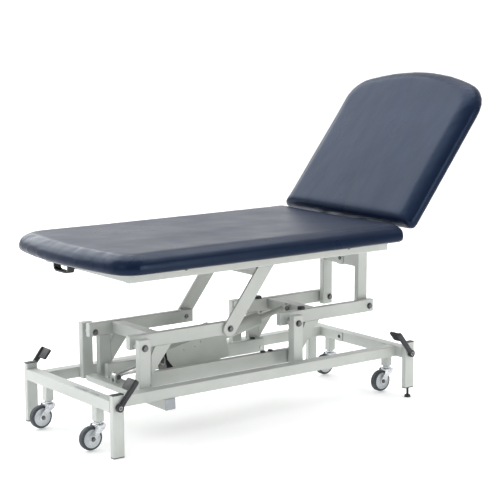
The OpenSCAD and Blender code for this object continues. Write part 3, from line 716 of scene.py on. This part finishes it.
def castor(name):
    x, y, z = pivot(f"{name}_wheel_spin")
    axle = frame_along((0, 1, 0), mm(x, y, z))
    tread = [(29.4, -12)]
    tread += [(WHEEL_R - 7 + 7 * math.sin(math.radians(a)), -12 + 7 - 7 * math.cos(math.radians(a)))
              for a in range(0, 91, 15)]
    tread += [(WHEEL_R - 0.4, 0)]
    tread += [(WHEEL_R - 7 + 7 * math.sin(math.radians(a)), 12 - 7 + 7 * math.cos(math.radians(a)))
              for a in range(90, -1, -15)]
    tread += [(29.4, 12), (28.4, 9), (27.9, 0), (28.4, -9), (29.4, -12)]
    bm = bmesh.new()
    add_lathe(bm, tread, axle, 64)
    finish_piece(f"{name}_tyre", bm, "castor_wheel", f"{name}_wheel", angle=50)

    hub = [(4.2, -13.2), (9, -13.2), (10, -12.4), (10.8, -9.5), (13, -8.2), (23.4, -7.6), (25.9, -9),
           (26.9, -10.6), (29, -11.2), (29, 11.2), (26.9, 10.6), (25.9, 9), (23.4, 7.6),
           (13, 8.2), (10.8, 9.5), (10, 12.4), (9, 13.2), (4.2, 13.2), (4.2, -13.2)]
    bm = bmesh.new()
    add_lathe(bm, hub, axle, 64)
    for flip in (0, math.pi):
        face = axle @ Matrix.Rotation(flip, 4, "X") @ Matrix.Translation((0, 0, 7.8 * MM))
        groove_ring(bm, face, 17.2, 2.6, 0.2, 8)
    wheel = finish_piece(f"{name}_hub", bm, "wheel_hub", f"{name}_wheel",
                         angle=35)
    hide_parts(f"{name}_castor_wheel")

    heads(f"{name}_axle_nuts", f"{name}_fork",
          [(x, y + s * 17.5, z, (0, s, 0), 6.5, "hex") for s, _ in SIDES])


def add_fork_cheek(bm, side, x0, y, top, z):
    """Pressed cheek, from the fork crown down to the axle."""
    outline = [(x0 + 17, top), (x0 + 18, top - 6), (x0 + 12, top - 16), (x0 - 8, top - 30),
               (x0 - 17, z - 4)]
    outline += [(x0 - TRAIL + 11 * math.cos(math.radians(a)), z + 11 * math.sin(math.radians(a)))
                for a in range(-30, -211, -20)]
    outline += [(x0 - TRAIL - 3, z + 18), (x0 - 22, top - 16), (x0 - 19, top - 5), (x0 - 17, top)]
    y_in, y_out = 15.0, 17.4
    low = [bm.verts.new(mm(px, y + side * y_in, pz)) for px, pz in outline]
    high = [bm.verts.new(mm(px, y + side * y_out, pz)) for px, pz in outline]
    bm.faces.new(low)
    bm.faces.new(high[::-1])
    for i in range(len(outline)):
        k = (i + 1) % len(outline)
        bm.faces.new([low[i], low[k], high[k], high[i]])


def castor_fork(name):
    """Pressed-steel fork: a domed crown that holds the ball race, and two cheeks."""
    x, y, top = pivot(f"{name}_castor_swivel")
    z = pivot(f"{name}_wheel_spin")[2]
    bm = bmesh.new()
    crown = frame_along((0, 0, 1), mm(x, y, top - 8))
    add_lathe(bm, [(5.2, 2), (15.5, 2), (18.2, 2.8), (19.5, 4.2), (19.5, 5.4), (18, 7), (15.5, 7.9),
                   (5.2, 7.9), (5.2, 2)], crown, 48)
    for side, _ in SIDES:
        add_fork_cheek(bm, side, x, y, top - 1.5, z)
    fork = finish_piece(f"{name}_fork_shell", bm, "castor_zinc", f"{name}_fork", angle=35,
                        bevel=0.5)
    bm = bmesh.new()
    add_lathe(bm, [(0, -20.5), (4, -20.5), (4, 20.5), (0, 20.5)],
              frame_along((0, 1, 0), mm(x - TRAIL, y, z)), 24)
    finish_piece(f"{name}_axle", bm, "castor_zinc", f"{name}_fork", angle=35)
    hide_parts(f"{name}_castor_fork")


CASTORS = ("foot_near", "foot_far", "head_near", "head_far")
for castor_name in CASTORS:
    castor(castor_name)
    castor_fork(castor_name)


# ---------------------------------------------------------------- pedals

PEDAL_LEAN, PEDAL_L, PAD_IN, PAD_ALONG = 39.0, 98.0, 53.0, 38.0
PEDAL_INNER, PEDAL_OUTER = 276.5, 290.0     # side faces of a pedal's hub


def add_loft(bm, sections):
    """Closed skin through equal-length point loops."""
    rings = [[bm.verts.new(p) for p in loop] for loop in sections]
    for a, b in zip(rings, rings[1:]):
        for i in range(len(a)):
            k = (i + 1) % len(a)
            bm.faces.new([a[i], a[k], b[k], b[i]])
    bm.faces.new(rings[0][::-1])
    bm.faces.new(rings[-1])


def pedal(end_name, end, side, side_name):
    """Moulded pedal: hub, tapering arm and a ribbed foot pad, leaning to the middle."""
    x, _, z = pivot(f"{end_name}_pedal_press")
    where = Matrix.Translation(mm(x, 0, z)) @ Matrix.Rotation(
        math.radians(-end * PEDAL_LEAN), 4, "Y")
    y0, y1 = PEDAL_INNER, PEDAL_OUTER

    def local(px, py, pz):
        return where @ Vector((px * MM, side * py * MM, pz * MM))

    bm = bmesh.new()
    hub = where @ frame_along((0, side, 0), Vector((0, side * y0 * MM, 0)))
    add_lathe(bm, [(0, 0.2), (12, 0.2), (12.5, 1.5), (12.5, 12), (11, 13.5), (7, 14), (6, 13.2),
                   (0, 13.2)], hub, 36)
    sections = []
    for h, half, lo, hi in ((0, 9.5, y0 + 0.6, y1 - 0.4), (30, 8.5, y0 + 1.2, y1 - 0.8),
                            (58, 9.5, y0 + 1.5, y1 - 0.6), (86, 10, y0 + 2, y1 - 0.5),
                            (95, 9, y0 + 2.4, y1 - 0.9), (PEDAL_L, 6.5, y0 + 3.4, y1 - 2)):
        mid, deep = (lo + hi) / 2, (hi - lo) / 2
        sections.append([local(half * cx, mid + deep * cy, h) for cx, cy in (
            (1, 0.5), (0.6, 1), (-0.6, 1), (-1, 0.5), (-1, -0.5), (-0.6, -1), (0.6, -1), (1, -0.5))])
    add_loft(bm, sections)
    # foot pad: a rounded slab with raised ribs on the face that is trodden on
    pad_z, pad_y = PEDAL_L - PAD_ALONG / 2, y1 - PAD_IN / 2
    face = where @ Matrix.Translation((0, side * pad_y * MM, pad_z * MM)) @ Matrix.Rotation(
        math.radians(-end * 90), 4, "Y")
    slab = face @ Matrix.Translation((0, 0, -4.5 * MM))
    add_prism(bm, round_rect(PAD_ALONG, PAD_IN, 6, 6), 8.0, slab)
    for i in range(5):
        rib = face @ Matrix.Translation(((i - 2) * 6.4 * MM, 0, 3.4 * MM))
        add_prism(bm, round_rect(2.6, PAD_IN - 9, 1.2, 3), 1.5, rib, taper=0.97)
    return finish_piece(f"{end_name}_{side_name}_pedal", bm, "black_plastic",
                        f"{end_name}_pedal", angle=40, bevel=0.7)


for end_name, end in (("foot", -1), ("head", 1)):
    for side, side_name in SIDES:
        made = pedal(end_name, end, side, side_name)
    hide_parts(f"{end_name}_pedals")
    heads(f"{end_name}_pedal_screws", f"{end_name}_pedal", [
        (pivot(f"{end_name}_pedal_press")[0], s * PEDAL_OUTER, pivot(f"{end_name}_pedal_press")[2],
         (0, s, 0), 5, "dome") for s, _ in SIDES])


# ---------------------------------------------------------------- stage, light and camera

def stage_plane(name, size, z):
    bm = bmesh.new()
    bmesh.ops.create_grid(bm, x_segments=8, y_segments=8, size=size)
    mesh = bpy.data.meshes.new(name)
    bm.to_mesh(mesh)
    bm.free()
    obj = bpy.data.objects.new(name, mesh)
    obj.location = (0, 0, z)
    bpy.context.scene.collection.objects.link(obj)
    floor = bpy.data.materials.new("pale_floor")
    floor.use_nodes = True
    tree, bsdf = nodes_of(floor)
    tone = noise_node(tree, 0.6, 2.0, 0.5)
    tree.links.new(ramp(tree, tone.outputs["Fac"], (0.93, 0.93, 0.93), (0.95, 0.95, 0.95))
                   .outputs["Color"], bsdf.inputs["Base Color"])
    bsdf.inputs["Roughness"].default_value = 0.9
    bsdf.inputs["Specular IOR Level"].default_value = 0.1
    bsdf.inputs["Emission Color"].default_value = (1, 1, 1, 1)
    bsdf.inputs["Emission Strength"].default_value = 0.28
    obj.data.materials.append(floor)
    return obj


stage_plane("floor", 200.0, -0.0005)


def area_light(name, at, target, width, height, power, tint=(1, 1, 1)):
    light = bpy.data.lights.new(name, "AREA")
    light.shape = "RECTANGLE"
    light.size = width
    light.size_y = height
    light.energy = power
    light.color = tint
    obj = bpy.data.objects.new(name, light)
    obj.location = at
    obj.rotation_euler = (Vector(target) - Vector(at)).to_track_quat("-Z", "Y").to_euler()
    bpy.context.scene.collection.objects.link(obj)


area_light("overhead", (0.2, 0.4, 3.2), (0.1, 0.0, 0.5), 3.4, 2.4, 70)
area_light("far_softbox", (-0.7, 3.2, 2.9), (0.45, 0.0, 0.8), 4.6, 3.0, 120, (0.97, 0.99, 1.0))
area_light("left_front", (-3.4, -1.6, 1.8), (0.0, 0.0, 0.45), 1.4, 1.6, 12, (0.86, 0.94, 1.0))
area_light("right_front", (1.2, -3.8, 1.3), (0.1, 0.0, 0.4), 1.3, 1.5, 40, (1.0, 0.99, 0.95))


def studio_world():
    """White overhead and on the far side, grey low on the near side."""
    world = bpy.data.worlds.new("studio")
    world.use_nodes = True
    tree = world.node_tree
    coords = tree.nodes.new("ShaderNodeTexCoord")
    side = tree.nodes.new("ShaderNodeVectorMath")
    side.operation = "DOT_PRODUCT"
    side.inputs[1].default_value = (0.12, 0.70, 0.70)
    tree.links.new(coords.outputs["Generated"], side.inputs[0])
    blend = tree.nodes.new("ShaderNodeValToRGB")
    blend.color_ramp.interpolation = "EASE"
    blend.color_ramp.elements[0].position = 0.0
    blend.color_ramp.elements[1].position = 1.0
    blend.color_ramp.elements[0].color = (0.20, 0.21, 0.22, 1)
    blend.color_ramp.elements[1].color = (1.0, 1.0, 1.0, 1)
    spread = tree.nodes.new("ShaderNodeMapRange")
    spread.inputs["From Min"].default_value = -0.45
    spread.inputs["From Max"].default_value = 0.45
    tree.links.new(side.outputs["Value"], spread.inputs["Value"])
    tree.links.new(spread.outputs["Result"], blend.inputs["Fac"])
    background = tree.nodes["Background"]
    tree.links.new(blend.outputs["Color"], background.inputs["Color"])
    background.inputs["Strength"].default_value = 1.05
    bpy.context.scene.world = world


studio_world()
bpy.context.scene.view_settings.view_transform = "Standard"

CAMERA_AT = mm(-2945, -4062.5, 1362)
CAMERA_YAW, CAMERA_PITCH, CAMERA_ROLL = 0.6448, 0.1605, -0.0024
FOCAL_PX, FRAME_PX, SENSOR = 1519.8, 500.0, 36.0
camera_data = bpy.data.cameras.new("camera")
camera_data.sensor_width = SENSOR
camera_data.lens = FOCAL_PX / FRAME_PX * SENSOR
camera_data.shift_x = -0.0008
camera_data.shift_y = -0.0034
camera_data.clip_end = 400
camera = bpy.data.objects.new("camera", camera_data)
camera.matrix_world = (Matrix.Translation(CAMERA_AT)
                       @ Matrix.Rotation(-CAMERA_YAW, 4, "Z")
                       @ Matrix.Rotation(math.pi / 2 - CAMERA_PITCH, 4, "X")
                       @ Matrix.Rotation(CAMERA_ROLL, 4, "Z"))
bpy.context.scene.collection.objects.link(camera)
bpy.context.scene.camera = camera
